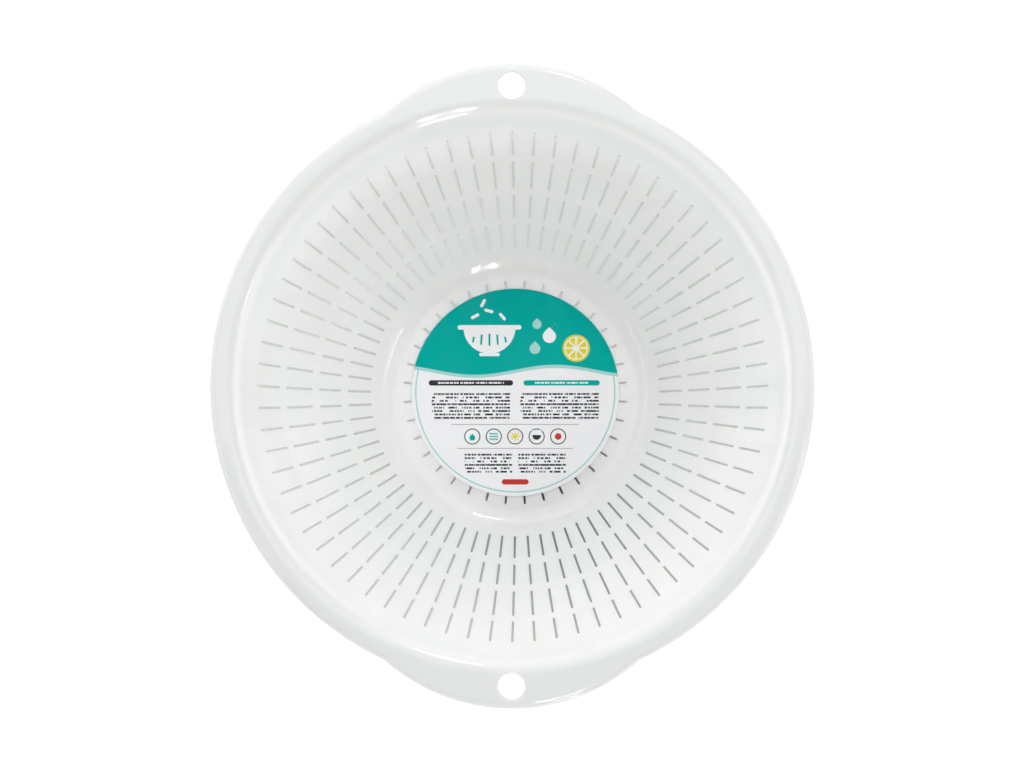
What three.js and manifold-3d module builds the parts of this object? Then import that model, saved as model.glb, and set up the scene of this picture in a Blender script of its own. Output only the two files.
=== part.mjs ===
// A kitchen strainer for rinsing rice and vegetables, in millimetres with +Z up.
// One moulded plastic bowl holds everything: a slotted wall and floor, a foot ring to stand on, and a rim
// that swells into two ears, each with a round hole to hang it by. A round paper label lies on the floor.
// The origin is on the bowl's axis, at the height of the surface that it stands on. The ears point to +Y and -Y.
import * as THREE from "three";
import { mergeVertices } from "three/addons/utils/BufferGeometryUtils.js";
import Module from "manifold-3d";

// Overall sizes
const rimDiameter = 268;
const overallLength = 286;
const overallHeight = 105;

// Plastic thicknesses
const wallThickness = 1.8;
const floorThickness = 2;

// Bowl section, from the rim down to the floor: slopes are in degrees from level
const flangeWidth = 6.2;
const shoulderRadius = 8;
const wallTopSlope = 70.5;
const wallFootSlope = 47.5;
const floorFilletRadius = 13.6;

// Foot ring with notches that let water out from under the bowl
const footHeight = 4;
const footRingThickness = 2.4;
const notchCount = 4;
const notchWidth = 12;
const notchHeight = 2.4;

// Rim edge, turned down all the way round
const lipRadius = 3.5;
const skirtDrop = 6.5;

// Ears and their hanging holes
const earArcRadius = 85;
const earCornerRadius = 5;
const hangingHoleDiameter = 11.8;
const hangingHoleEdge = 4.3;

// Wall slots: radial lines, each broken into rows by webs. The rows share the rest of the wall's slope.
const slotLines = 72;
const slotWidth = 1;
const slotWeb = 5;
const slotFootMargin = 4.3;
const slotHeadMargin = 14.6;
const slotRowShares = [0.22, 0.22, 0.288, 0.272];

// Floor slots: an outer ring on every second line, and an inner ring on every second line left between them.
// Both rings are as long as what is left between the plain hub and the floor's edge allows.
const floorSlotMargin = 2.3;
const floorSlotWeb = 5;
const floorHubRadius = 20.7;

// Paper label
const labelMargin = 6.2;
const labelThickness = 0.3;

// Facets of the rounded stretches
const filletSteps = 3;
const shoulderSteps = 3;
const lipSteps = 3;
const hiddenSteps = 2;
const holeFacets = 32;
const labelFacets = 72;

const rimRadius = rimDiameter / 2;
const earTipRadius = overallLength / 2;
const floorTop = footHeight + floorThickness;
const topSlope = THREE.MathUtils.degToRad(wallTopSlope);
const footSlope = THREE.MathUtils.degToRad(wallFootSlope);
const linePitch = (2 * Math.PI) / slotLines;
const facetGrowth = 1 / Math.cos(linePitch / 2);
const cutOverrun = 1;

// The section is three arcs that meet smoothly: floor fillet, wall and shoulder. The wall's radius is the one
// that spans the depth of the bowl between its two slopes.
const bowlDepth = overallHeight - floorTop;
const filletRise = floorFilletRadius * (1 - Math.cos(footSlope));
const shoulderRise = shoulderRadius * (1 - Math.cos(topSlope));
const wallArcRadius = (bowlDepth - filletRise - shoulderRise) / (Math.cos(footSlope) - Math.cos(topSlope));
const shoulderEdge = rimRadius - flangeWidth;
const flatRadius = shoulderEdge - shoulderRadius * Math.sin(topSlope)
  - wallArcRadius * (Math.sin(topSlope) - Math.sin(footSlope)) - floorFilletRadius * Math.sin(footSlope);
const shoulderArc = { r: shoulderEdge, z: overallHeight - shoulderRadius, radius: -shoulderRadius };
const filletArc = { r: flatRadius, z: floorTop + floorFilletRadius, radius: floorFilletRadius };
const wallArc = {
  r: filletArc.r - (wallArcRadius - floorFilletRadius) * Math.sin(footSlope),
  z: filletArc.z + (wallArcRadius - floorFilletRadius) * Math.cos(footSlope),
  radius: wallArcRadius,
};

// A point of an arc where its slope is the given one. The outer face is the same arc a thickness further out.
function arcPoint(arc, slope, thickness = 0) {
  const radius = arc.radius + thickness;
  return new THREE.Vector2(arc.r + radius * Math.sin(slope), arc.z - radius * Math.cos(slope));
}

// Points of an arc from one slope to another, both ends included.
function arcPoints(arc, from, to, steps, thickness = 0) {
  return Array.from({ length: steps + 1 }, (_, i) => arcPoint(arc, from + ((to - from) * i) / steps, thickness));
}

// The slope of the wall at a length measured up from its foot.
function slopeAt(length) {
  return footSlope + length / wallArcRadius;
}

// The rows of wall slots, as the slopes where each starts and ends. The rows share what the webs leave.
function wallRows() {
  const webs = slotWeb * (slotRowShares.length - 1);
  const slotted = wallArcRadius * (topSlope - footSlope) - slotFootMargin - slotHeadMargin - webs;
  let start = slotFootMargin;
  return slotRowShares.map((share) => {
    const end = start + share * slotted;
    const row = { from: slopeAt(start), to: slopeAt(end) };
    start = end + slotWeb;
    return row;
  });
}

const rows = wallRows();

// The wall's facets meet in the middle of each web, so that every slot lies in a flat facet. The slots are cut
// straight down, so the outer face bends at the same distance from the axis as the inner face.
function wallBend(slope, thickness) {
  const fromCentre = (wallArc.radius * Math.sin(slope)) / (wallArc.radius + thickness);
  return arcPoint(wallArc, Math.asin(fromCentre), thickness);
}

const halfWeb = slotWeb / 2 / wallArcRadius;
const bendSlopes = rows.map((row) => row.to + halfWeb);

// Half of the bowl's section, from the floor's middle over the rim to the underside's middle.
function bowlSection() {
  const ringOuter = flatRadius + footRingThickness;
  const ringSlope = Math.asin(footRingThickness / (floorFilletRadius + wallThickness));
  const skirtFoot = overallHeight - skirtDrop;
  const lipArc = { r: rimRadius - lipRadius, z: overallHeight - lipRadius, radius: -lipRadius };
  const inside = [
    new THREE.Vector2(0, floorTop),
    ...arcPoints(filletArc, 0, footSlope, filletSteps),
    ...bendSlopes.map((slope) => wallBend(slope, 0)),
    ...arcPoints(shoulderArc, topSlope, 0, shoulderSteps),
  ];
  const edge = [
    ...arcPoints(lipArc, 0, -Math.PI / 2, lipSteps),
    new THREE.Vector2(rimRadius, skirtFoot),
    new THREE.Vector2(rimRadius - wallThickness, skirtFoot),
    ...arcPoints(lipArc, -Math.PI / 2, 0, 1, wallThickness),
  ];
  const outside = [
    ...arcPoints(shoulderArc, 0, topSlope, hiddenSteps, wallThickness),
    ...bendSlopes.toReversed().map((slope) => wallBend(slope, wallThickness)),
    ...arcPoints(filletArc, footSlope, ringSlope, hiddenSteps, wallThickness),
    new THREE.Vector2(ringOuter, 0),
    new THREE.Vector2(flatRadius, 0),
    new THREE.Vector2(flatRadius, footHeight),
    new THREE.Vector2(0, footHeight),
  ];
  return [...inside, ...edge, ...outside];
}

// The rim's outline seen from above, drawn in by an inset: how far it is from the axis in a direction given by
// its angle from an ear's middle line. The rim circle and the ear's arc meet in a small hollow fillet. Where the
// ear's arc ends inside the rim circle the two don't cross, and the circle is the outline.
function outlineRadius(fromEar, inset) {
  const earCentre = earTipRadius - earArcRadius;
  const cornerReach = rimRadius + earCornerRadius;
  const earReach = earArcRadius + earCornerRadius;
  const crossing = (cornerReach ** 2 + earCentre ** 2 - earReach ** 2) / (2 * cornerReach * earCentre);
  const cornerAngle = Math.acos(Math.min(crossing, 1));
  if (fromEar >= cornerAngle) return rimRadius - inset;
  const share = (earArcRadius - inset) / earReach;
  const tangentX = share * cornerReach * Math.sin(cornerAngle);
  const tangentY = earCentre + share * (cornerReach * Math.cos(cornerAngle) - earCentre);
  if (fromEar >= Math.atan2(tangentX, tangentY)) {
    const aside = cornerReach * Math.sin(cornerAngle - fromEar);
    return cornerReach * Math.cos(cornerAngle - fromEar) - Math.sqrt((earCornerRadius + inset) ** 2 - aside ** 2);
  }
  const aside = earCentre * Math.sin(fromEar);
  return earCentre * Math.cos(fromEar) + Math.sqrt((earArcRadius - inset) ** 2 - aside ** 2);
}

// The slots of one line, each as the distances from the axis where it starts and ends.
function slotsOn(line) {
  const slots = rows.map((row) => [arcPoint(wallArc, row.from).x, arcPoint(wallArc, row.to).x]);
  const floorEdge = flatRadius - floorSlotMargin;
  const floorSlotLength = (floorEdge - floorHubRadius - floorSlotWeb) / 2;
  if (line % 2 === 1) slots.push([floorEdge - floorSlotLength, floorEdge]);
  if (line % 4 === 0) slots.push([floorHubRadius, floorHubRadius + floorSlotLength]);
  return slots;
}

// A section point carried to the facet edge after the given line. Points outside the shoulder go out to the
// rim's outline. The edges lie far enough out that each facet's middle is at the true radius.
function edgePoint(point, line) {
  const angle = (((line + slotLines) % slotLines) + 0.5) * linePitch;
  const across = Math.cos(angle);
  const along = Math.sin(angle);
  const fromEar = Math.atan2(Math.abs(across), Math.abs(along));
  const onRim = point.x > shoulderEdge;
  const radius = facetGrowth * (onRim ? outlineRadius(fromEar, rimRadius - point.x) : point.x);
  return new THREE.Vector3(radius * across, radius * along, point.y);
}

// The triangles of one panel, the flat stretch between two section points on one line's facet, as corners in
// order. Slots that fall on the panel leave holes in it, and their corners are kept in mouths.
function panelCorners(from, to, line, mouths) {
  const corners = [edgePoint(from, line - 1), edgePoint(to, line - 1), edgePoint(to, line), edgePoint(from, line)];
  if (from.x === 0) corners.pop();
  if (to.x === 0) corners.splice(2, 1);
  const near = Math.min(from.x, to.x);
  const far = Math.max(from.x, to.x);
  const slots = [...mouths.keys()].filter(([start, end]) => near < start && end < far);
  if (slots.length === 0) {
    return corners.slice(2).flatMap((corner, i) => [corners[0], corners[i + 1], corner]);
  }
  const holes = slots.map((slot) => {
    const hole = slotMouth(slot, line, from, to);
    mouths.get(slot).push(hole);
    return hole;
  });
  const points = [...corners, ...holes.flat()];
  const faces = THREE.ShapeUtils.triangulateShape([...corners], holes.map((hole) => [...hole]));
  const facesUp = to.x > from.x;
  return faces.flatMap(([a, b, c]) => {
    const side = new THREE.Vector3().subVectors(points[b], points[a]).cross(
      new THREE.Vector3().subVectors(points[c], points[a])).z;
    return side > 0 === facesUp ? [points[a], points[b], points[c]] : [points[a], points[c], points[b]];
  });
}

// The four corners of a slot where it opens on a panel, in counterclockwise order seen from above.
function slotMouth([start, end], line, from, to) {
  const half = slotWidth / 2;
  const fall = (to.y - from.y) / (to.x - from.x);
  const axis = new THREE.Vector3(0, 0, 1);
  return [[start, -half], [end, -half], [end, half], [start, half]].map(([out, aside]) =>
    new THREE.Vector3(out, aside, from.y + (out - from.x) * fall).applyAxisAngle(axis, line * linePitch));
}

// The bowl's skin, panel by panel. The slots go straight down through it, as the mould parts.
function bowlShell() {
  const section = bowlSection();
  const corners = [];
  for (let line = 0; line < slotLines; line += 1) {
    const mouths = new Map(slotsOn(line).map((slot) => [slot, []]));
    for (let i = 1; i < section.length; i += 1) {
      corners.push(...panelCorners(section[i - 1], section[i], line, mouths));
    }
    for (const [upper, lower] of mouths.values()) {
      for (let i = 0; i < 4; i += 1) {
        const next = (i + 1) % 4;
        corners.push(upper[i], upper[next], lower[next], upper[i], lower[next], lower[i]);
      }
    }
  }
  return new THREE.BufferGeometry().setFromPoints(corners);
}

// Cutters for the two hanging holes and the notches of the foot ring.
function holeCutters() {
  const cutters = [];
  const holeRadius = hangingHoleDiameter / 2;
  const holePlace = earTipRadius - hangingHoleEdge - holeRadius;
  for (const side of [-1, 1]) {
    const depth = wallThickness + 2 * cutOverrun;
    const cutter = new THREE.CylinderGeometry(holeRadius, holeRadius, depth, holeFacets);
    cutter.rotateX(Math.PI / 2);
    cutter.translate(0, side * holePlace, overallHeight - wallThickness / 2);
    cutters.push(cutter);
  }
  for (let notch = 0; notch < notchCount; notch += 1) {
    const cutter = new THREE.BoxGeometry(footRingThickness + 4 * cutOverrun, notchWidth, notchHeight + cutOverrun);
    cutter.translate(flatRadius + footRingThickness / 2, 0, (notchHeight - cutOverrun) / 2);
    cutters.push(cutter.rotateZ(((notch + 0.5) * 2 * Math.PI) / notchCount));
  }
  return cutters;
}

const wasm = await Module();
wasm.setup();

// A closed geometry as a solid that can be joined and cut.
function toSolid(geometry) {
  const bare = geometry.index ? geometry.toNonIndexed() : geometry.clone();
  bare.deleteAttribute("normal");
  bare.deleteAttribute("uv");
  const merged = mergeVertices(bare, 1e-4);
  return new wasm.Manifold(new wasm.Mesh({
    numProp: 3,
    vertProperties: new Float32Array(merged.attributes.position.array),
    triVerts: new Uint32Array(merged.index.array),
  }));
}

// A solid back as a geometry.
function toGeometry(solid) {
  const mesh = solid.getMesh();
  const geometry = new THREE.BufferGeometry();
  geometry.setAttribute("position", new THREE.BufferAttribute(mesh.vertProperties, 3));
  geometry.setIndex(new THREE.BufferAttribute(mesh.triVerts, 1));
  geometry.computeVertexNormals();
  return geometry;
}

// The moulded bowl: one piece of plastic.
function makeBowl() {
  let solid = toSolid(bowlShell());
  for (const cutter of holeCutters()) solid = solid.subtract(toSolid(cutter));
  const plastic = new THREE.MeshStandardMaterial({ color: 0xe9ebe9, roughness: 0.38, metalness: 0 });
  const bowl = new THREE.Mesh(toGeometry(solid), plastic);
  bowl.name = "strainer_bowl";
  return bowl;
}

// The paper label, lying on the floor of the bowl.
function makeLabel() {
  const radius = flatRadius - labelMargin;
  const geometry = new THREE.CylinderGeometry(radius, radius, labelThickness, labelFacets);
  geometry.rotateX(Math.PI / 2);
  const paper = new THREE.MeshStandardMaterial({ color: 0xe6ecee, roughness: 0.6, metalness: 0 });
  const label = new THREE.Mesh(geometry, paper);
  label.name = "paper_label";
  label.position.z = floorTop + labelThickness / 2;
  return label;
}

const strainer = new THREE.Group();
strainer.name = "strainer";
strainer.add(makeBowl(), makeLabel());

export default strainer;
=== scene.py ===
"""A white plastic kitchen strainer bowl with a round paper label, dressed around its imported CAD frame.

Everything is in metres with +Z up, in the frame of the CAD: the bowl stands on z = 0 with its axis on
Z, and its two ears point to +Y and -Y. Sizes of the object are written in millimetres and turned into
metres where they are used.
"""

import logging
import math
from dataclasses import dataclass, field
from enum import Enum
from typing import Callable

import bmesh
import bpy
from mathutils import Matrix, Vector


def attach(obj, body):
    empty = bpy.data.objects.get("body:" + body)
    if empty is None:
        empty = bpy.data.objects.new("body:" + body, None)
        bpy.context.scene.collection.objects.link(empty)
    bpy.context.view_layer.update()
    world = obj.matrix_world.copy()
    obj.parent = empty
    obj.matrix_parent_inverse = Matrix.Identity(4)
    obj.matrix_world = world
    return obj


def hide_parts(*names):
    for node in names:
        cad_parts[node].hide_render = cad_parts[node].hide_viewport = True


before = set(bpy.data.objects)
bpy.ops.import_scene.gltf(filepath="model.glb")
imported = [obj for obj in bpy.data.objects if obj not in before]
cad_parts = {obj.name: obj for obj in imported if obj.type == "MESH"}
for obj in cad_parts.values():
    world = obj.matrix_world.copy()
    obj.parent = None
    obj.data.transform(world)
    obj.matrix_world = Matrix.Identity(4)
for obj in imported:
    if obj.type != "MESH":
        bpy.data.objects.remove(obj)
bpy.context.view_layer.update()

MM = 0.001
# Vertices nearer than this become one
MERGED = 0.002 * MM
# Places that differ by less than this are the same
CLOSE = 0.01 * MM
# Faces that meet at more degrees than this have a sharp edge between them
SHARP_ANGLE = 35.0
FULL_TURN = 2 * math.pi
# The spin operator turns clockwise round its axis, and with this one counterclockwise seen from above
UPRIGHT = (0, 0, -1)
log = logging.getLogger("strainer")


# Modelling by operators


def deselect_all() -> None:
    """Leaves no object selected, because every operator acts on all that is selected."""
    bpy.ops.object.select_all(action="DESELECT")


def select_only(piece: bpy.types.Object) -> None:
    """Makes one object the selected and active one.

    Args:
        piece: The object that the next operators act on.
    """
    deselect_all()
    piece.select_set(True)
    bpy.context.view_layer.objects.active = piece


def select_parts(piece: bpy.types.Object, kind: str, test: Callable[..., bool]) -> None:
    """Selects vertices, edges or faces of the mesh in edit mode by a test on each.

    Args:
        piece: The object in edit mode.
        kind: "verts", "edges" or "faces".
        test: Says of one vertex, edge or face whether it is selected.
    """
    modes = {"verts": "VERT", "edges": "EDGE", "faces": "FACE"}
    bpy.ops.mesh.select_mode(type=modes[kind])
    bpy.ops.mesh.select_all(action="DESELECT")
    mesh = bmesh.from_edit_mesh(piece.data)
    for part in [part for part in getattr(mesh, kind) if test(part)]:
        part.select_set(True)
    mesh.select_flush_mode()
    bmesh.update_edit_mesh(piece.data)


def apply_modifiers(piece: bpy.types.Object) -> None:
    """Applies all modifiers of a piece, in their order.

    Args:
        piece: The object whose modifiers become part of its mesh.
    """
    select_only(piece)
    for modifier in list(piece.modifiers):
        bpy.ops.object.modifier_apply(modifier=modifier.name)


def smooth(piece: bpy.types.Object) -> None:
    """Shades a piece smooth, except across its sharp edges."""
    select_only(piece)
    bpy.ops.object.shade_smooth_by_angle(angle=math.radians(SHARP_ANGLE))


def cut(piece: bpy.types.Object, cutter: bpy.types.Object) -> None:
    """Cuts one closed shape out of another and deletes the cutter.

    Args:
        piece: The solid that loses material.
        cutter: The solid that is taken away.
    """
    modifier = piece.modifiers.new("cut", "BOOLEAN")
    modifier.operation = "DIFFERENCE"
    modifier.solver = "MANIFOLD"
    modifier.object = cutter
    apply_modifiers(piece)
    select_only(cutter)
    bpy.ops.object.delete()


@dataclass
class Outline:
    """A chain of points drawn in the XZ plane: a point is placed, then extruded and spun."""

    r: float = 0.0
    z: float = 0.0

    def start(self, r: float, z: float) -> None:
        """Places a new loose point.

        Args:
            r: Distance from the axis in millimetres.
            z: Height in millimetres.
        """
        bpy.ops.mesh.select_mode(type="VERT")
        bpy.ops.mesh.select_all(action="DESELECT")
        bpy.ops.mesh.primitive_plane_add(size=MM, location=(r * MM, 0.0, z * MM))
        bpy.ops.mesh.merge(type="CENTER")
        self.r, self.z = r, z

    def line(self, r: float, z: float, steps: int = 1) -> None:
        """Draws a straight stretch to a point.

        Args:
            r: Distance of the end from the axis in millimetres.
            z: Height of the end in millimetres.
            steps: How many equal edges the stretch has.
        """
        step = ((r - self.r) / steps * MM, 0.0, (z - self.z) / steps * MM)
        for _ in range(steps):
            bpy.ops.mesh.extrude_region_move(TRANSFORM_OT_translate={"value": step})
        self.r, self.z = r, z

    def arc(self, centre_r: float, centre_z: float, degrees: float, steps: int) -> None:
        """Draws an arc from the chain's end.

        Args:
            centre_r: Distance of the arc's centre from the axis in millimetres.
            centre_z: Height of the arc's centre in millimetres.
            degrees: The turn, counterclockwise with the axis on the left and up at the top.
            steps: How many edges the arc has.
        """
        turn = math.radians(degrees)
        centre = (centre_r * MM, 0.0, centre_z * MM)
        bpy.ops.mesh.spin(steps=steps, angle=turn, center=centre, axis=(0, 1, 0))
        out, up = self.r - centre_r, self.z - centre_z
        self.r = centre_r + out * math.cos(turn) - up * math.sin(turn)
        self.z = centre_z + out * math.sin(turn) + up * math.cos(turn)


def new_mesh(name: str) -> bpy.types.Object:
    """Adds an empty mesh object at the origin and enters its edit mode.

    Args:
        name: The object's name.

    Returns:
        The object, active and in edit mode with nothing in it.
    """
    deselect_all()
    bpy.ops.mesh.primitive_plane_add(size=MM, location=(0, 0, 0))
    piece = bpy.context.object
    piece.name = name
    piece.data.name = name
    bpy.ops.object.mode_set(mode="EDIT")
    bpy.ops.mesh.delete(type="VERT")
    return piece


def copy_round_axis(first: float, count: int) -> None:
    """Turns what is selected in edit mode to its first place round Z, and copies it all the way round.

    Args:
        first: The angle of the first one, in radians.
        count: How many there are in the end.
    """
    bpy.ops.transform.rotate(value=first, orient_axis="Z", center_override=(0, 0, 0))
    turn = FULL_TURN / count * (count - 1)
    bpy.ops.mesh.spin(steps=count - 1, dupli=True, angle=turn, center=(0, 0, 0), axis=UPRIGHT)


@dataclass
class BowlMoulding:
    """The bowl, moulded in one piece: floor, slotted wall, rim, ears and foot ring. In millimetres."""

    height: float = 105.0
    wall: float = 1.8
    floor_top: float = 6.0
    foot_height: float = 4.0
    foot_ring: float = 2.4
    foot_edge: float = 0.5
    foot_rounding: float = 0.9
    # From outside in: the distance from the axis, the rise over the underside, the edges up to there
    gate_mark: tuple[tuple[float, float, int], ...] = (
        (3.4, 0.0, 3),
        (3.0, 0.35, 1),
        (1.2, 0.35, 1),
        (0.9, -0.15, 1),
        (0.0, -0.2, 1),
    )
    rim_radius: float = 134.0
    shoulder_edge: float = 127.8
    shoulder_radius: float = 8.0
    wall_top_slope: float = 70.5
    wall_foot_slope: float = 47.5
    fillet_radius: float = 13.6
    lip_radius: float = 3.5
    skirt_drop: float = 6.5
    skirt_edge: float = 0.4
    ear_tip: float = 143.0
    ear_radius: float = 85.0
    ear_corner: float = 5.0
    hole_radius: float = 5.9
    hole_edge: float = 4.3
    hole_rounding: float = 0.5
    hole_facets: int = 96
    slot_lines: int = 72
    slot_width: float = 1.0
    slot_corner: float = 0.35
    slot_web: float = 5.0
    slot_foot_margin: float = 4.3
    slot_head_margin: float = 14.6
    slot_shares: tuple[float, ...] = (0.22, 0.22, 0.288, 0.272)
    floor_slot_margin: float = 2.3
    floor_slot_web: float = 5.0
    floor_hub: float = 20.7
    notch_width: float = 12.0
    notch_height: float = 2.4
    notch_rounding: float = 1.0
    notch_count: int = 4
    facets: int = 360
    wall_arc: float = field(init=False)
    flat_radius: float = field(init=False)

    def __post_init__(self) -> None:
        """Works out the wall's arc and the floor's radius from the depth of the bowl."""
        top, foot = math.radians(self.wall_top_slope), math.radians(self.wall_foot_slope)
        rise = self.height - self.floor_top
        rise -= self.fillet_radius * (1 - math.cos(foot)) + self.shoulder_radius * (1 - math.cos(top))
        self.wall_arc = rise / (math.cos(foot) - math.cos(top))
        self.flat_radius = (
            self.shoulder_edge
            - self.shoulder_radius * math.sin(top)
            - self.wall_arc * (math.sin(top) - math.sin(foot))
            - self.fillet_radius * math.sin(foot)
        )

    def wall_centre(self) -> tuple[float, float]:
        """Works out where the wall's arc has its centre in the section.

        Returns:
            The centre's distance from the axis and its height.
        """
        foot = math.radians(self.wall_foot_slope)
        reach = self.wall_arc - self.fillet_radius
        return (
            self.flat_radius - reach * math.sin(foot),
            self.floor_top + self.fillet_radius + reach * math.cos(foot),
        )

    def build(self) -> bpy.types.Object:
        """Models the whole moulding.

        Returns:
            The finished closed mesh.
        """
        rim = self.sweep_rim()
        piece = self.revolve_body()
        rim.select_set(True)
        bpy.ops.object.join()
        bpy.ops.object.mode_set(mode="EDIT")
        self.join_flange(piece)
        self.soften_foot(piece)
        bpy.ops.mesh.select_all(action="SELECT")
        bpy.ops.mesh.remove_doubles(threshold=MERGED)
        bpy.ops.mesh.normals_make_consistent(inside=False)
        bpy.ops.object.mode_set(mode="OBJECT")
        for make_cutter in (self.slot_cutter, self.hole_cutter, self.notch_cutter):
            cut(piece, make_cutter())
        smooth(piece)
        return piece

    def revolve_body(self) -> bpy.types.Object:
        """Draws the section inside and outside the wall and spins it round the axis.

        Returns:
            The body, open where the rim's flange joins it.
        """
        piece = new_mesh("bowl_moulding")
        slopes = self.wall_top_slope - self.wall_foot_slope
        fillet = (self.flat_radius, self.floor_top + self.fillet_radius)
        shoulder = (self.shoulder_edge, self.height - self.shoulder_radius)
        section = Outline()
        section.start(0.0, self.floor_top)
        section.line(self.flat_radius, self.floor_top, steps=4)
        section.arc(*fillet, self.wall_foot_slope, steps=12)
        section.arc(*self.wall_centre(), slopes, steps=30)
        section.arc(*shoulder, -self.wall_top_slope, steps=12)
        section.start(self.shoulder_edge, self.height - self.wall)
        section.arc(*shoulder, self.wall_top_slope, steps=9)
        section.arc(*self.wall_centre(), -slopes, steps=30)
        ring_slope = math.degrees(math.asin(self.foot_ring / (self.fillet_radius + self.wall)))
        section.arc(*fillet, ring_slope - self.wall_foot_slope, steps=8)
        outer, inner, edge = self.flat_radius + self.foot_ring, self.flat_radius, self.foot_edge
        section.line(outer, edge, steps=3)
        section.arc(outer - edge, edge, -90, steps=4)
        section.line(inner + edge, 0.0)
        section.arc(inner + edge, edge, -90, steps=4)
        section.line(inner, self.foot_height - edge)
        section.arc(inner - edge, self.foot_height - edge, 90, steps=3)
        self.draw_gate_mark(section)
        bpy.ops.mesh.select_all(action="SELECT")
        half_facet = math.pi / self.facets
        bpy.ops.transform.rotate(value=half_facet, orient_axis="Z", center_override=(0, 0, 0))
        bpy.ops.mesh.spin(steps=self.facets, angle=FULL_TURN, center=(0, 0, 0), axis=UPRIGHT)
        bpy.ops.object.mode_set(mode="OBJECT")
        return piece

    def draw_gate_mark(self, section: Outline) -> None:
        """Draws the dimple and nub that the mould's gate leaves in the middle of the underside."""
        for radius, rise, steps in self.gate_mark:
            section.line(radius, self.foot_height + rise, steps)

    def sweep_rim(self) -> bpy.types.Object:
        """Draws the section of the turned-down edge and spins it along the rim, corners and ears.

        Returns:
            The edge, open where the flange joins it.
        """
        piece = new_mesh("rim_edge")
        radius, lip, edge = self.rim_radius, self.lip_radius, self.skirt_edge
        lip_centre = (radius - lip, self.height - lip)
        foot = self.height - self.skirt_drop
        section = Outline()
        section.start(radius - lip, self.height)
        section.arc(*lip_centre, -90, steps=9)
        section.line(radius, foot + edge)
        section.arc(radius - edge, foot + edge, -90, steps=3)
        section.line(radius - self.wall + edge, foot)
        section.arc(radius - self.wall + edge, foot + edge, -90, steps=3)
        section.line(radius - self.wall, lip_centre[1])
        section.arc(*lip_centre, 90, steps=5)
        bpy.ops.mesh.select_all(action="SELECT")
        ear_middle = self.ear_tip - self.ear_radius
        reach, ear_reach = radius + self.ear_corner, self.ear_radius + self.ear_corner
        corner = math.acos((reach**2 + ear_middle**2 - ear_reach**2) / (2 * reach * ear_middle))
        aside, along = reach * math.sin(corner), reach * math.cos(corner)
        ear_turn = math.degrees(math.atan2(aside, along - ear_middle))
        corner = math.degrees(corner)
        rim_steps, ear_steps, corner_steps = 65, 60, 8
        for end in (1, -1):
            half_rim = (0.0, 0.0, 90 - corner, rim_steps)
            ear = (0.0, end * ear_middle, 2 * ear_turn, ear_steps)
            first = (end * aside, end * along, corner - ear_turn, corner_steps)
            last = (-end * aside, end * along, corner - ear_turn, corner_steps)
            for x, y, degrees, steps in (half_rim, first, ear, last, half_rim):
                turn = math.radians(degrees)
                bpy.ops.mesh.spin(steps=steps, angle=turn, center=(x * MM, y * MM, 0), axis=UPRIGHT)
        bpy.ops.object.mode_set(mode="OBJECT")
        return piece

    def join_flange(self, piece: bpy.types.Object) -> None:
        """Bridges the body to the swept edge, over the flat of the rim and under it.

        Args:
            piece: The mesh in edit mode, with the body and the edge in it.
        """
        bpy.ops.mesh.select_all(action="SELECT")
        bpy.ops.mesh.remove_doubles(threshold=MERGED)
        for level in (self.height, self.height - self.wall):
            select_parts(
                piece,
                "edges",
                lambda side, level=level: side.is_boundary
                and all(abs(vert.co.z - level * MM) < CLOSE for vert in side.verts),
            )
            bpy.ops.mesh.bridge_edge_loops()

    def soften_foot(self, piece: bpy.types.Object) -> None:
        """Rounds the corner where the foot ring leaves the bowl.

        Args:
            piece: The mesh in edit mode, closed.
        """
        outer, corner_band = (self.flat_radius + self.foot_ring) * MM, 0.8
        low, high = self.foot_height * MM, (self.foot_height + corner_band) * MM

        def on_corner(vert: bmesh.types.BMVert) -> bool:
            """Says whether a vertex lies where the ring's outside ends."""
            return low < vert.co.z < high and abs(vert.co.xy.length - outer) < CLOSE

        select_parts(piece, "edges", lambda side: all(on_corner(vert) for vert in side.verts))
        bpy.ops.mesh.bevel(offset=self.foot_rounding * MM, segments=3, affect="EDGES")

    def slot_rows(self) -> list[tuple[float, float, float, int]]:
        """Works out the rings of slots.

        Returns:
            For each ring its slots' inner and outer ends, the first one's angle in degrees, and their
            count.
        """
        foot_slope = math.radians(self.wall_foot_slope)
        bend = math.radians(self.wall_top_slope - self.wall_foot_slope)
        webs = self.slot_web * (len(self.slot_shares) - 1)
        slotted = self.wall_arc * bend - self.slot_foot_margin - self.slot_head_margin - webs
        centre = self.wall_centre()[0]
        rows = []
        start = self.slot_foot_margin
        for share in self.slot_shares:
            end = start + share * slotted
            inner, outer = (
                centre + self.wall_arc * math.sin(foot_slope + along / self.wall_arc)
                for along in (start, end)
            )
            rows.append((inner, outer, 0.0, self.slot_lines))
            start = end + self.slot_web
        edge = self.flat_radius - self.floor_slot_margin
        length = (edge - self.floor_hub - self.floor_slot_web) / 2
        rows.append((edge - length, edge, 360 / self.slot_lines, self.slot_lines // 2))
        rows.append((self.floor_hub, self.floor_hub + length, 0.0, self.slot_lines // 4))
        return rows

    def slot_cutter(self) -> bpy.types.Object:
        """Models one cutter with rounded ends for each ring of slots, and copies it round the axis.

        Returns:
            All slots as one mesh.
        """
        piece = new_mesh("slot_cutter")
        margin = 0.1
        for start, end, first, count in self.slot_rows():
            bpy.ops.mesh.select_all(action="DESELECT")
            on_floor = end < self.flat_radius
            # From below the floor, whose underside is at the foot's height, up into the open
            bottom, top = 1.0, (self.floor_top + 1 if on_floor else self.height + 2)
            bpy.ops.mesh.primitive_cube_add(
                size=MM,
                location=((start + end) / 2 * MM, 0, (bottom + top) / 2 * MM),
                scale=(end - start, self.slot_width, top - bottom),
            )

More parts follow.
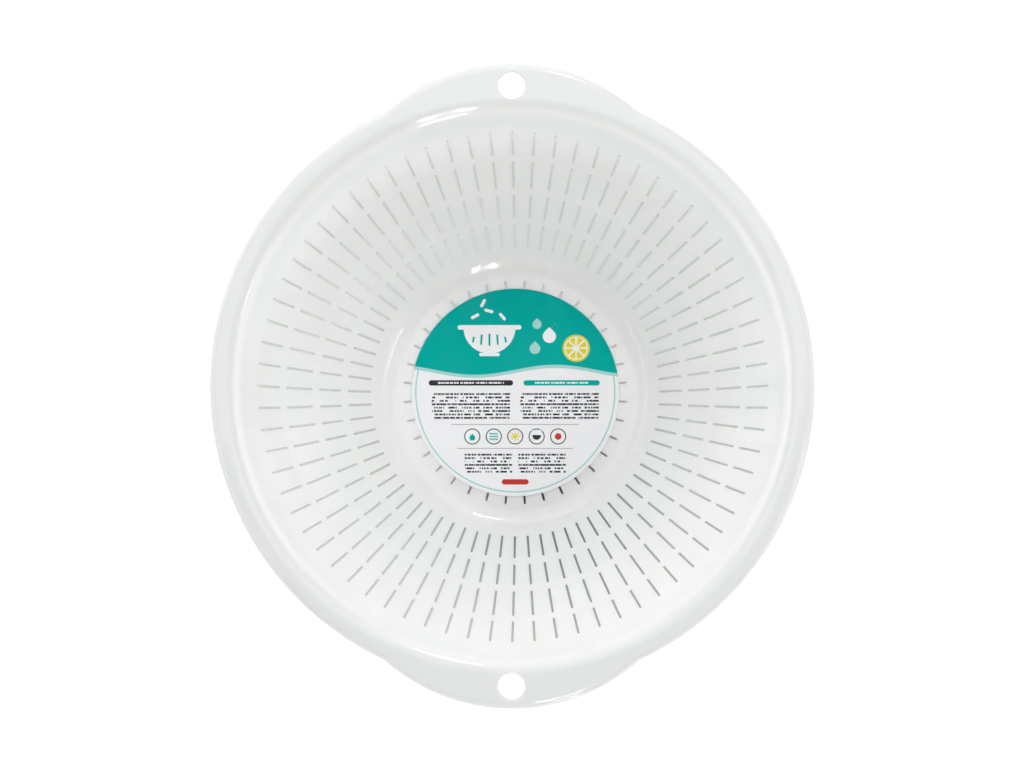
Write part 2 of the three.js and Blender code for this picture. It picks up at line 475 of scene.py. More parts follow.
            def in_row(vert: bmesh.types.BMVert) -> bool:
                """Says whether a vertex belongs to the cutter that was just added."""
                along, aside = vert.co.x / MM, abs(vert.co.y) / MM
                return start - margin < along < end + margin and aside < self.slot_width

            select_parts(
                piece,
                "edges",
                lambda side: all(in_row(vert) for vert in side.verts)
                and (side.verts[0].co.xy - side.verts[1].co.xy).length < CLOSE,
            )
            bpy.ops.mesh.bevel(offset=self.slot_corner * MM, segments=3, affect="EDGES")
            select_parts(piece, "verts", in_row)
            copy_round_axis(math.radians(first), count)
        bpy.ops.object.mode_set(mode="OBJECT")
        return piece

    def hole_cutter(self) -> bpy.types.Object:
        """Models the cutters of the two hanging holes, flared where the plastic's edge is rounded.

        Returns:
            Both holes as one mesh.
        """
        piece = new_mesh("hole_cutter")
        radius, flare = self.hole_radius, self.hole_rounding
        # The flares open a hair past the plastic's faces, and the cutters overrun them
        hair, overrun = 0.01, 1.0
        bottom, top = self.height - self.wall - hair, self.height + hair
        section = Outline()
        section.start(0.0, bottom - overrun)
        section.line(radius + flare, bottom - overrun)
        section.line(radius + flare, bottom)
        section.arc(radius + flare, bottom + flare, -90, steps=4)
        section.line(radius, top - flare)
        section.arc(radius + flare, top - flare, -90, steps=4)
        section.line(radius + flare, top + overrun)
        section.line(0.0, top + overrun)
        bpy.ops.mesh.select_all(action="SELECT")
        bpy.ops.mesh.spin(steps=self.hole_facets, angle=FULL_TURN, center=(0, 0, 0), axis=UPRIGHT)
        bpy.ops.mesh.select_all(action="SELECT")
        bpy.ops.mesh.remove_doubles(threshold=MERGED)
        bpy.ops.mesh.normals_make_consistent(inside=False)
        place = (self.ear_tip - self.hole_edge - radius) * MM
        bpy.ops.transform.translate(value=(0, place, 0))
        bpy.ops.mesh.duplicate()
        bpy.ops.transform.translate(value=(0, -2 * place, 0))
        bpy.ops.object.mode_set(mode="OBJECT")
        return piece

    def notch_cutter(self) -> bpy.types.Object:
        """Models the cutters of the notches in the foot ring.

        Returns:
            All notches as one mesh.
        """
        piece = new_mesh("notch_cutter")
        bpy.ops.mesh.primitive_cube_add(
            size=MM,
            location=((self.flat_radius + self.foot_ring / 2) * MM, 0, 0),
            scale=(2 * self.foot_ring, self.notch_width, 2 * self.notch_height),
        )
        select_parts(
            piece,
            "edges",
            lambda side: all(vert.co.z > 0 for vert in side.verts)
            and abs(side.verts[0].co.y - side.verts[1].co.y) < CLOSE,
        )
        bpy.ops.mesh.bevel(offset=self.notch_rounding * MM, segments=4, affect="EDGES")
        bpy.ops.mesh.select_all(action="SELECT")
        copy_round_axis(math.pi / self.notch_count, self.notch_count)
        bpy.ops.object.mode_set(mode="OBJECT")
        return piece

    def dress(self, bowl: bpy.types.Object, grain: bpy.types.NodeTree) -> None:
        """Gives the moulding its plastic and puts it in the place of the CAD bowl.

        Args:
            bowl: The finished mesh.
            grain: The group for a surface's fine grain.
        """
        give_material(bowl, Polypropylene().make(grain))
        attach(bowl, "root")
        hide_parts("strainer_bowl")


@dataclass
class PaperLabel:
    """The round label, lying on the floor of the bowl. In millimetres."""

    radius: float = 50.4
    floor_top: float = 6.0
    thickness: float = 0.3
    air: float = 0.03
    edge: float = 0.06
    insets: tuple[float, float] = (1.2, 24.0)
    facets: int = 180

    def build(self) -> bpy.types.Object:
        """Models the sheet with its cut edge.

        Returns:
            The finished closed mesh.
        """
        deselect_all()
        depth = self.thickness - self.air
        bpy.ops.mesh.primitive_cylinder_add(
            vertices=self.facets,
            radius=self.radius * MM,
            depth=depth * MM,
            location=(0, 0, (self.floor_top + self.air + depth / 2) * MM),
        )
        piece = bpy.context.object
        piece.name = piece.data.name = "label_sheet"
        bpy.ops.object.transform_apply(location=True, rotation=True, scale=True)
        bpy.ops.object.mode_set(mode="EDIT")
        select_parts(piece, "faces", lambda face: abs(face.normal.z) > 0.9)
        for inset in self.insets:
            bpy.ops.mesh.inset(thickness=inset * MM)
        select_parts(
            piece,
            "edges",
            lambda side: all(abs(vert.co.xy.length - self.radius * MM) < CLOSE for vert in side.verts)
            and abs(side.verts[0].co.z - side.verts[1].co.z) < CLOSE,
        )
        bpy.ops.mesh.bevel(offset=self.edge * MM, segments=2, affect="EDGES")
        bpy.ops.object.mode_set(mode="OBJECT")
        smooth(piece)
        return piece

    def dress(self, label: bpy.types.Object, grain: bpy.types.NodeTree) -> None:
        """Gives the sheet its printed paper and puts it in the place of the CAD label.

        Args:
            label: The finished mesh.
            grain: The group for a surface's fine grain.
        """
        give_material(label, PrintedPaper().make(grain))
        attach(label, "root")
        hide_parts("paper_label")


# Materials

# Half the width over which the edge of a printed shape fades, in millimetres
INK_EDGE = 0.04
# How far full white on a Bump node's height stands out, in metres
BUMP_DEPTH = 0.1 * MM


class Sheet:
    """A node tree under construction: adds nodes, sets their values and links them."""

    def __init__(self, tree: bpy.types.NodeTree) -> None:
        """Keeps the tree that the nodes go into."""
        self.tree = tree

    def node(self, kind: str, inputs: dict | None = None, **settings: object) -> bpy.types.Node:
        """Adds a node.

        Args:
            kind: The node's type.
            inputs: Its input sockets by name or number, each with a value or the socket that feeds it.
            settings: Its properties.

        Returns:
            The node.
        """
        made = self.tree.nodes.new(kind)
        for name, value in settings.items():
            setattr(made, name, value)
        for key, value in (inputs or {}).items():
            if isinstance(value, bpy.types.NodeSocket):
                self.tree.links.new(value, made.inputs[key])
            else:
                made.inputs[key].default_value = value
        return made

    def math(self, operation: str, *values: object) -> bpy.types.NodeSocket:
        """Adds a Math node on numbers or sockets, and returns its result."""
        return self.node("ShaderNodeMath", dict(enumerate(values)), operation=operation).outputs[0]

    def vector(self, operation: str, *values: object) -> bpy.types.NodeSocket:
        """Adds a Vector Math node, and returns its result, a number for LENGTH and DISTANCE."""
        made = self.node("ShaderNodeVectorMath", dict(enumerate(values)), operation=operation)
        return made.outputs["Value" if operation in ("LENGTH", "DISTANCE") else "Vector"]

    def mix(self, factor: object, first: object, second: object) -> bpy.types.NodeSocket:
        """Blends two colours and returns the blend, the first colour at a factor of 0."""
        made = self.node("ShaderNodeMix", {0: factor, 6: first, 7: second}, data_type="RGBA")
        return made.outputs[2]

    def remap(
        self, value: object, low: float, high: float, to_low: float, to_high: float
    ) -> bpy.types.NodeSocket:
        """Carries a number from one range to another, smoothly and without going past its ends.

        Args:
            value: The number or socket.
            low: The value that becomes to_low.
            high: The value that becomes to_high.
            to_low: The result at the low end.
            to_high: The result at the high end.

        Returns:
            The carried number.
        """
        made = self.node(
            "ShaderNodeMapRange",
            {"Value": value, "From Min": low, "From Max": high, "To Min": to_low, "To Max": to_high},
            interpolation_type="SMOOTHSTEP",
        )
        return made.outputs["Result"]

    def bump(self, height: bpy.types.NodeSocket, strength: float) -> bpy.types.NodeSocket:
        """Returns the normal that a height gives, with a strength for how much of it shows."""
        inputs = {"Height": height, "Strength": strength, "Distance": BUMP_DEPTH}
        return self.node("ShaderNodeBump", inputs).outputs["Normal"]

    def place(self, group: bpy.types.NodeTree, inputs: dict) -> bpy.types.Node:
        """Places a node group, with a value or a socket for each input, and returns its node."""
        return self.node("ShaderNodeGroup", inputs, node_tree=group)


def new_group(name: str, inputs: dict[str, tuple[str, object]], outputs: dict[str, str]) -> tuple:
    """Starts a shader node group.

    Args:
        name: The group's name.
        inputs: Each input's name with its socket type and starting value.
        outputs: Each output's name with its socket type.

    Returns:
        The group, its sheet, the sockets that bring the inputs in, and the node that takes the outputs.
    """
    group = bpy.data.node_groups.new(name, "ShaderNodeTree")
    for label, (kind, value) in inputs.items():
        socket = group.interface.new_socket(name=label, in_out="INPUT", socket_type=kind)
        if value is not None:
            socket.default_value = value
    for label, kind in outputs.items():
        group.interface.new_socket(name=label, in_out="OUTPUT", socket_type=kind)
    sheet = Sheet(group)
    entry = sheet.node("NodeGroupInput")
    leaving = sheet.node("NodeGroupOutput")
    return group, sheet, entry.outputs, leaving


def surface_grain_group() -> bpy.types.NodeTree:
    """Makes the group for a surface's fine relief: grain, waves as wide as a fingertip, and scratches.

    The scratches are the lines where a noise crosses its middle value, so they are thin and curved, and
    a second noise breaks them into short pieces.

    Returns:
        The group. Its outputs are a height for a Bump node and values from 0 to 1.
    """
    group, sheet, given, leaving = new_group(
        "surface_grain",
        {
            "Vector": ("NodeSocketVector", None),
            "Grain Scale": ("NodeSocketFloat", 1800.0),
            "Wave Scale": ("NodeSocketFloat", 110.0),
            "Wave Height": ("NodeSocketFloat", 8.0),
            "Uneven Scale": ("NodeSocketFloat", 22.0),
            "Scratch Amount": ("NodeSocketFloat", 0.5),
        },
        {"Height": "NodeSocketFloat", "Unevenness": "NodeSocketFloat", "Scratches": "NodeSocketFloat"},
    )

    def noise(scale: object, detail: float) -> bpy.types.NodeSocket:
        """Returns a noise of a scale and detail over the surface."""
        inputs = {"Vector": given["Vector"], "Scale": scale, "Detail": detail, "Roughness": 0.55}
        return sheet.node("ShaderNodeTexNoise", inputs).outputs["Fac"]

    line_scale, line_width = 55.0, 0.004
    break_scale, break_low, break_high = 90.0, 0.56, 0.62
    scratch_depth = 0.5
    waves = noise(given["Wave Scale"], 1.0)
    uneven = noise(given["Uneven Scale"], 3.0)
    crossing = sheet.math("ABSOLUTE", sheet.math("SUBTRACT", noise(line_scale, 2.0), 0.5))
    lines = sheet.remap(crossing, 0.0, line_width, 1.0, 0.0)
    broken = sheet.remap(noise(break_scale, 1.0), break_low, break_high, 0.0, 1.0)
    scratches = sheet.math("MULTIPLY", sheet.math("MULTIPLY", lines, broken), given["Scratch Amount"])
    relief = sheet.math("MULTIPLY", waves, given["Wave Height"])
    height = sheet.math("ADD", noise(given["Grain Scale"], 4.0), relief)
    height = sheet.math("SUBTRACT", height, sheet.math("MULTIPLY", scratches, scratch_depth))
    sheet.tree.links.new(height, leaving.inputs["Height"])
    sheet.tree.links.new(uneven, leaving.inputs["Unevenness"])
    sheet.tree.links.new(scratches, leaving.inputs["Scratches"])
    return group


def printed_shape_group() -> bpy.types.NodeTree:
    """Makes the group for one flat printed shape: a box with round corners, also for discs and bars.

    Returns:
        The group. Its output is a mask, 1 where the ink is.
    """
    group, sheet, given, leaving = new_group(
        "printed_shape",
        {
            "Vector": ("NodeSocketVector", None),
            "Centre": ("NodeSocketVector", None),
            "Half Size": ("NodeSocketVector", None),
            "Corner": ("NodeSocketFloat", 0.001),
            "Turn": ("NodeSocketFloat", 0.0),
        },
        {"Mask": "NodeSocketFloat"},
    )
    moved = sheet.vector("SUBTRACT", given["Vector"], given["Centre"])
    turned = sheet.node(
        "ShaderNodeVectorRotate", {"Vector": moved, "Angle": given["Turn"]}, rotation_type="Z_AXIS"
    ).outputs["Vector"]
    flat = sheet.vector("MULTIPLY", sheet.vector("ABSOLUTE", turned), (1, 1, 0))
    reach = sheet.vector("SUBTRACT", flat, given["Half Size"])
    corner = sheet.node(
        "ShaderNodeCombineXYZ", {"X": given["Corner"], "Y": given["Corner"], "Z": 0.0}
    ).outputs["Vector"]
    past = sheet.vector("ADD", reach, corner)
    beyond = sheet.vector("MAXIMUM", past, (0, 0, 0))
    outside = sheet.vector("LENGTH", sheet.vector("MULTIPLY", beyond, (1, 1, 0)))
    split = sheet.node("ShaderNodeSeparateXYZ", {"Vector": past})
    inside = sheet.math("MINIMUM", sheet.math("MAXIMUM", split.outputs["X"], split.outputs["Y"]), 0.0)
    distance = sheet.math("SUBTRACT", sheet.math("ADD", outside, inside), given["Corner"])
    mask = sheet.remap(distance, -INK_EDGE * MM, INK_EDGE * MM, 1.0, 0.0)
    sheet.tree.links.new(mask, leaving.inputs["Mask"])
    return group


def small_print_group() -> bpy.types.NodeTree:
    """Makes the group for a block of small print: rows of dashes, with gaps as between words.

    Returns:
        The group. Its output is a mask, 1 where the ink is.
    """
    group, sheet, given, leaving = new_group(
        "small_print",
        {
            "Vector": ("NodeSocketVector", None),
            "Centre": ("NodeSocketVector", None),
            "Half Width": ("NodeSocketFloat", 0.01),
            "Half Height": ("NodeSocketFloat", 0.005),
            "Pitch": ("NodeSocketFloat", 0.0015),
        },
        {"Mask": "NodeSocketFloat"},
    )
    moved = sheet.vector("SUBTRACT", given["Vector"], given["Centre"])
    split = sheet.node("ShaderNodeSeparateXYZ", {"Vector": moved})
    across, up = split.outputs["X"], split.outputs["Y"]
    from_top = sheet.math("DIVIDE", sheet.math("SUBTRACT", given["Half Height"], up), given["Pitch"])
    row = sheet.math("FLOOR", from_top)
    in_row = sheet.math("ABSOLUTE", sheet.math("SUBTRACT", sheet.math("FRACT", from_top), 0.5))
    row_height, row_fade = 0.24, 0.30
    line = sheet.remap(in_row, row_height, row_fade, 1.0, 0.0)
    row_shift = 7.3

    def dashes(per_metre: float, low: float, high: float) -> bpy.types.NodeSocket:
        """Makes dashes along the rows, with other lengths in each row.

        Args:
            per_metre: The scale of the noise that gives the lengths.
            low: The noise at which a dash ends.
            high: The noise at which its ink is full.

        Returns:
            A mask, 1 where a dash is.
        """
        along, down = sheet.math("MULTIPLY", across, per_metre), sheet.math("MULTIPLY", row, row_shift)
        spot = sheet.node("ShaderNodeCombineXYZ", {"X": along, "Y": down, "Z": 0.0}).outputs["Vector"]
        noise = sheet.node("ShaderNodeTexNoise", {"Vector": spot, "Scale": 1.0, "Detail": 0.0})
        return sheet.remap(noise.outputs["Fac"], low, high, 0.0, 1.0)

    words = dashes(per_metre=290.0, low=0.37, high=0.39)
    letters = dashes(per_metre=1500.0, low=0.36, high=0.44)
    in_width = sheet.math("LESS_THAN", sheet.math("ABSOLUTE", across), given["Half Width"])
    in_height = sheet.math("LESS_THAN", sheet.math("ABSOLUTE", up), given["Half Height"])
    inside = sheet.math("MULTIPLY", sheet.math("MULTIPLY", in_width, line), in_height)
    mask = sheet.math("MULTIPLY", sheet.math("MULTIPLY", words, letters), inside)
    sheet.tree.links.new(mask, leaving.inputs["Mask"])
    return group


# Linear red, green, blue and alpha
Colour = tuple[float, float, float, float]


class Ink(Enum):
    """The printing inks."""

    TEAL = (0.0, 0.435, 0.385, 1.0)
    PALE_TEAL = (0.42, 0.74, 0.71, 1.0)
    WHITE = (0.975, 0.980, 1.0, 1.0)
    YELLOW = (0.85, 0.72, 0.04, 1.0)
    GREY = (0.42, 0.43, 0.44, 1.0)
    DARK = (0.035, 0.038, 0.042, 1.0)
    RED = (0.62, 0.05, 0.045, 1.0)


@dataclass(frozen=True)
class Print:
    """One printed shape: a box with round corners on the label, in millimetres from its middle."""

    ink: Ink
    x: float
    y: float
    half_width: float
    half_height: float
    corner: float = 0.0
    degrees: float = 0.0

    def inputs(self) -> dict[str, object]:
        """Turns the shape into what its node group takes.

        Returns:
            The inputs of printed_shape by name.
        """
        return {
            "Centre": (self.x * MM, self.y * MM, 0),
            "Half Size": (self.half_width * MM, self.half_height * MM, 0),
            "Corner": self.corner * MM,
            "Turn": math.radians(-self.degrees),
        }


def disc(ink: Ink, x: float, y: float, radius: float) -> Print:
    """Returns a printed disc of a radius round a point."""
    return Print(ink, x, y, radius, radius, radius)


def bar(ink: Ink, x: float, y: float, length: float, weight: float, degrees: float = 0.0) -> Print:
    """Returns a printed bar with round ends, of a length and weight, centred on a point."""
    return Print(ink, x, y, length / 2, weight / 2, weight / 2, degrees)


def drop(ink: Ink, x: float, y: float, radius: float) -> list[Print]:
    """Returns the shapes of a water drop: a disc, and a square on its corner that makes the tip."""
    tip = Print(ink, x, y + radius / math.sqrt(2), radius / 2, radius / 2, 0.06 * radius, 45.0)
    return [tip, disc(ink, x, y, radius)]


def ring(ink: Ink, ground: Ink, x: float, y: float, radius: float, weight: float) -> list[Print]:
    """Returns the shapes of a ring of a radius and weight on a ground of another ink."""
    return [disc(ink, x, y, radius), disc(ground, x, y, radius - weight)]


def lemon(x: float, y: float, radius: float) -> list[Print]:
    """Draws a slice of lemon: its rind, its pith, and flesh parted by four white lines.

    Args:
        x: The middle, to the right of the label's.
        y: The middle, above the label's.
        radius: The slice's radius.

    Returns:
        Its shapes, each laid on the ones before it.
    """
    slices = [disc(Ink.YELLOW, x, y, radius)]
    slices += [disc(Ink.WHITE, x, y, 0.86 * radius), disc(Ink.YELLOW, x, y, 0.78 * radius)]
    slices += [bar(Ink.WHITE, x, y, 1.6 * radius, 0.12 * radius, 45.0 * turn) for turn in range(4)]
    return slices


@dataclass(frozen=True)
class SmallPrint:
    """One block of small print, rows of dashes that spell nothing, in millimetres from the middle."""

    ink: Ink
    x: float
    y: float
    half_width: float
    half_height: float
    pitch: float

    def inputs(self) -> dict[str, object]:
        """Turns the block into what its node group takes.

        Returns:
            The inputs of small_print by name.
        """
        return {
            "Centre": (self.x * MM, self.y * MM, 0),
            "Half Width": self.half_width * MM,
            "Half Height": self.half_height * MM,
            "Pitch": self.pitch * MM,
        }


@dataclass(frozen=True)
class LabelPrint:
    """The label's generic print: a strainer, drops and a lemon over a wave, and signs below it."""

    wave_level: float = 11.0
    wave_rise: float = 2.4
    wave_length: float = 78.0
    wave_line: float = 1.6
    border: float = 48.6
    border_weight: float = 0.7

    def border_shapes(self) -> list[Print]:
        """Returns the thin ring round the label, drawn before the field above the wave."""
        return ring(Ink.PALE_TEAL, Ink.WHITE, 0, 0, self.border, self.border_weight)

    def field_shapes(self) -> list[Print]:
        """Draws the shapes on the teal field: the strainer with grains falling in, drops and a lemon.

        Returns:
            The shapes, each laid on the ones before it.
        """
        middle = -12.5
        shapes = [disc(Ink.WHITE, middle, 31.5, 12.6), Print(Ink.TEAL, middle, 39.4, 13, 7.6)]
        shapes += [bar(Ink.WHITE, middle, 31.6, 31, 2.2), bar(Ink.WHITE, middle, 18.4, 10, 1.6)]
        for step, length in ((-2, 3.0), (-1, 5.2), (0, 6.0), (1, 5.2), (2, 3.0)):
            shapes.append(bar(Ink.TEAL, middle + 3.9 * step, 25.6, length, 0.95, 90 + 5.0 * step))
        grains = ((-19.5, 37.0, 28), (-12.8, 39.6, -14), (-6.2, 36.8, -48), (-15.6, 43.4, 62))
        for x, y, degrees in grains:
            shapes.append(bar(Ink.WHITE, x, y, 4.4, 1.5, degrees))
        shapes += drop(Ink.PALE_TEAL, 10.6, 33.0, 2.2)
        shapes += drop(Ink.WHITE, 16.6, 27.2, 3.2)
        shapes += drop(Ink.PALE_TEAL, 9.6, 21.2, 2.6)
        return shapes + lemon(29.6, 21.4, 6.6)

    def sign_shapes(self) -> list[Print]:
        """Draws the row of round signs: a drop, ripples, a star, a bowl and a plain dot.

        Returns:
            The shapes, each laid on the ones before it.
        """
        height, radius = -21.4, 3.9
        shapes = []
        for place in range(5):
            shapes += ring(Ink.DARK, Ink.WHITE, 10.4 * (place - 2), height, radius, 0.5)
        shapes += drop(Ink.TEAL, -20.8, height - 0.6, 1.4)
        shapes += [bar(Ink.TEAL, -10.4, height + rise, 4.2, 0.6) for rise in (-1.3, 0.0, 1.3)]
        shapes += [bar(Ink.YELLOW, 0, height, 5.2, 0.55, 45.0 * turn) for turn in range(4)]
        shapes.append(disc(Ink.DARK, 10.4, height + 0.5, 2.1))
        shapes.append(Print(Ink.WHITE, 10.4, height + 1.9, 2.4, 1.2))
        return [*shapes, disc(Ink.RED, 20.8, height, 1.6)]

    def paper_shapes(self) -> list[Print]:
        """Draws the plain bars on the white paper.

        Returns:
            The shapes.
        """
        shapes = [bar(Ink.DARK, -21.5, 4.6, 41, 2.6), bar(Ink.TEAL, 22.5, 4.6, 37, 2.6)]
        shapes += [bar(Ink.GREY, 0, -15.6, 62, 0.35), bar(Ink.GREY, 0, -27.2, 56, 0.35)]
        return [*shapes, bar(Ink.RED, 0, -43.4, 13, 2.6)]

    def small_print(self) -> list[SmallPrint]:
        """Lists the small print: on the two bars, in two columns, and in two more below the signs.

        Returns:
            The blocks.
        """
        return [
            SmallPrint(Ink.WHITE, -21.5, 4.6, 16, 0.75, 1.5),
            SmallPrint(Ink.WHITE, 22.5, 4.6, 13, 0.75, 1.5),
            SmallPrint(Ink.DARK, -21.5, -6.6, 19, 6.6, 1.65),
            SmallPrint(Ink.DARK, 21.5, -6.6, 19, 6.6, 1.65),
            SmallPrint(Ink.DARK, -13.0, -34.4, 11.5, 5.0, 1.65),
            SmallPrint(Ink.DARK, 13.0, -34.4, 11.5, 5.0, 1.65),
        ]

    def draw(self, sheet: Sheet, place: bpy.types.NodeSocket) -> bpy.types.NodeSocket:
        """Lays the inks on each other.

        Args:
            sheet: The label material's nodes.
            place: The object coordinates.

        Returns:
            The printed colour.
        """
        shape_group, dash_group = printed_shape_group(), small_print_group()

        def lay(colour: object, group: bpy.types.NodeTree, shapes: list) -> object:
            """Lays printed shapes of one kind on a colour.

            Args:
                colour: The ground, a colour or a socket.
                group: The node group that draws such a shape.
                shapes: What is printed, in order.

            Returns:
                The new colour.
            """
            for shape in shapes:
                mask = sheet.place(group, {"Vector": place, **shape.inputs()}).outputs["Mask"]
                colour = sheet.mix(mask, colour, shape.ink.value)
            return colour

        split = sheet.node("ShaderNodeSeparateXYZ", {"Vector": place})
        phase = sheet.math("MULTIPLY", split.outputs["X"], FULL_TURN / (self.wave_length * MM))
        wave = sheet.math("MULTIPLY", sheet.math("SINE", phase), self.wave_rise * MM)
        above = sheet.math("SUBTRACT", split.outputs["Y"], self.wave_level * MM)
        above = sheet.math("SUBTRACT", above, wave)
        colour = lay(Ink.WHITE.value, shape_group, self.border_shapes())
        line_low, line_high = -self.wave_line - INK_EDGE, -self.wave_line + INK_EDGE
        crest = sheet.remap(above, line_low * MM, line_high * MM, 0.0, 1.0)
        colour = sheet.mix(crest, colour, Ink.PALE_TEAL.value)
        field_mask = sheet.remap(above, -INK_EDGE * MM, INK_EDGE * MM, 0.0, 1.0)
        colour = sheet.mix(field_mask, colour, Ink.TEAL.value)
        shapes = self.field_shapes() + self.sign_shapes() + self.paper_shapes()
        return lay(lay(colour, shape_group, shapes), dash_group, self.small_print())


@dataclass(frozen=True)
class Polypropylene:
    """White moulded plastic: glossy above, satin below, with faint flow lines out from the gate.

    The reach in height of the rim's painted shade and the depth of the light in the plastic are in
    millimetres.
    """

    name: str = "white_polypropylene"
    clear: Colour = (0.905, 0.909, 0.897, 1.0)
    dull: Colour = (0.888, 0.893, 0.880, 1.0)
    # Painted shade: the rim's colour is darker than the bowl's, as if less light fell on the flange
    rim: Colour = (0.770, 0.787, 0.776, 1.0)
    painted_rim_shade_reach: tuple[float, float] = (101.5, 104.9)
    patches: tuple[float, float] = (0.38, 0.62)
    roughness: float = 0.04
    roughness_spread: float = 0.04
    scratch_roughness: float = 0.2
    satin: float = 0.13
    satin_reach: tuple[float, float] = (-0.12, 0.06)
    bump: float = 0.06
    flow_scale: float = 11.0
    flow_wander: float = 2.5
    refraction: float = 1.49
    translucence: float = 0.80
    light_depth: float = 3.0
    light_spread: tuple[float, float, float] = (1.0, 1.0, 0.92)

    def make(self, grain: bpy.types.NodeTree) -> bpy.types.Material:
        """Builds the material.

        Args:
            grain: The group for a surface's fine grain.

        Returns:
            The material.
        """
        material, sheet, shader = new_material(self.name)
        place = sheet.node("ShaderNodeTexCoord").outputs["Object"]
        scales = {"Grain Scale": 2600.0, "Wave Scale": 105.0, "Wave Height": 9.0, "Uneven Scale": 26.0}
        fine = sheet.place(grain, {"Vector": place, **scales})
        uneven, scratches = fine.outputs["Unevenness"], fine.outputs["Scratches"]
        flow = self.flow_lines(sheet, place)
        blend = sheet.math("MULTIPLY", sheet.math("ADD", uneven, flow), 0.5)
        colour = sheet.mix(sheet.remap(blend, *self.patches, 0.0, 1.0), self.clear, self.dull)
        height = sheet.node("ShaderNodeSeparateXYZ", {"Vector": place}).outputs["Z"]
        # Paints the shade on the rim: the top of the bowl takes the darker colour
        painted_rim_shade_mask = sheet.remap(height, self.painted_rim_shade_reach[0] * MM, self.painted_rim_shade_reach[1] * MM, 0.0, 1.0)
        colour = sheet.mix(painted_rim_shade_mask, colour, self.rim)
        roughest = self.roughness + self.roughness_spread
        rough = sheet.remap(blend, *self.patches, self.roughness, roughest)
        rough = sheet.math("ADD", rough, sheet.math("MULTIPLY", scratches, self.scratch_roughness))
        normal = sheet.node("ShaderNodeNewGeometry").outputs["Normal"]
        facing = sheet.node("ShaderNodeSeparateXYZ", {"Vector": normal}).outputs["Z"]
        satin = sheet.remap(facing, *self.satin_reach, self.satin, 0.0)
        sheet.tree.links.new(colour, shader.inputs["Base Color"])
        sheet.tree.links.new(sheet.math("ADD", rough, satin), shader.inputs["Roughness"])
        sheet.tree.links.new(sheet.bump(fine.outputs["Height"], self.bump), shader.inputs["Normal"])
        shader.inputs["IOR"].default_value = self.refraction
        shader.inputs["Subsurface Weight"].default_value = self.translucence
        shader.inputs["Subsurface Radius"].default_value = self.light_spread
        shader.inputs["Subsurface Scale"].default_value = self.light_depth * MM
        return material

    def flow_lines(self, sheet: Sheet, place: bpy.types.NodeSocket) -> bpy.types.NodeSocket:
        """Makes the streaks that the plastic leaves as it fills the mould outwards from the middle.

        Args:
            sheet: The material's nodes.
            place: The object coordinates.

        Returns:
            A value from 0 to 1 that changes quickly round the axis and slowly along the radius.
        """
        level = sheet.vector("MULTIPLY", place, (1, 1, 0))
        heading = sheet.vector("NORMALIZE", level)
        wander = sheet.vector("MULTIPLY", place, (self.flow_wander,) * 3)
        spread = sheet.vector("ADD", heading, wander)
        inputs = {"Vector": spread, "Scale": self.flow_scale, "Detail": 3.0}
        return sheet.node("ShaderNodeTexNoise", inputs).outputs["Fac"]


@dataclass(frozen=True)
class PrintedPaper:
    """Coated paper with the printed design, its finish a little uneven."""

    name: str = "printed_paper"
    fibre: Colour = (0.55, 0.56, 0.56, 1.0)
    fibre_strength: float = 0.012
    scratch_strength: float = 0.1
    patches: tuple[float, float] = (0.3, 0.7)
    roughness: float = 0.42
    roughness_spread: float = 0.14
    bump: float = 0.12
    refraction: float = 1.45
    gloss: float = 0.02
    design: LabelPrint = LabelPrint()

    def make(self, grain: bpy.types.NodeTree) -> bpy.types.Material:
        """Builds the material.

        Args:
            grain: The group for a surface's fine grain.

        Returns:
            The material.
        """
        material, sheet, shader = new_material(self.name)
        place = sheet.node("ShaderNodeTexCoord").outputs["Object"]
        scales = {"Grain Scale": 5200.0, "Wave Scale": 60.0, "Wave Height": 12.0, "Uneven Scale": 60.0}
        fine = sheet.place(grain, {"Vector": place, **scales})
        uneven = fine.outputs["Unevenness"]
        shade = sheet.remap(uneven, *self.patches, 0.0, self.fibre_strength)
        colour = sheet.mix(shade, self.design.draw(sheet, place), self.fibre)
        scratches = sheet.math("MULTIPLY", fine.outputs["Scratches"], self.scratch_strength)
        colour = sheet.mix(scratches, colour, Ink.WHITE.value)
        roughest = self.roughness + self.roughness_spread
        rough = sheet.remap(uneven, *self.patches, self.roughness, roughest)
        sheet.tree.links.new(colour, shader.inputs["Base Color"])
        sheet.tree.links.new(rough, shader.inputs["Roughness"])
        sheet.tree.links.new(sheet.bump(fine.outputs["Height"], self.bump), shader.inputs["Normal"])
        shader.inputs["IOR"].default_value = self.refraction
        shader.inputs["Specular IOR Level"].default_value = self.gloss
        return material


def new_material(name: str) -> tuple[bpy.types.Material, Sheet, bpy.types.Node]:
    """Starts a material.

    Args:
        name: The material's name.

    Returns:
        The material, its nodes and its Principled BSDF.
    """
    material = bpy.data.materials.new(name)
    material.use_nodes = True
    sheet = Sheet(material.node_tree)
    return material, sheet, material.node_tree.nodes["Principled BSDF"]


def give_material(piece: bpy.types.Object, material: bpy.types.Material) -> None:
    """Gives a piece one material all over."""
    piece.data.materials.clear()
    piece.data.materials.append(material)


# Studio


@dataclass(frozen=True)
class Softbox:
    """A soft lamp that looks at the bowl from a direction. Angles in degrees, lengths in metres."""

    name: str
    azimuth: float
    elevation: float
    distance: float
    width: float
    height: float
    level: float

    def hang(self, target: Vector) -> None:
        """Adds the lamp, with the power that lights a surface that faces it to its level.

        At a level of 1 a colour shows as it is written.

        Args:
            target: The point that it looks at.
        """
        azimuth, elevation = math.radians(self.azimuth), math.radians(self.elevation)
        flat = math.cos(elevation)
        toward = Vector((flat * math.cos(azimuth), flat * math.sin(azimuth), math.sin(elevation)))
        place = target + toward * self.distance
        turn = (-toward).to_track_quat("-Z", "Y").to_euler()
        bpy.ops.object.light_add(type="AREA", location=place, rotation=turn)
        lamp = bpy.context.object
        lamp.name = self.name
        lamp.data.shape = "RECTANGLE"
        lamp.data.size, lamp.data.size_y = self.width, self.height
        lamp.data.energy = self.level * math.pi**2 * self.distance**2


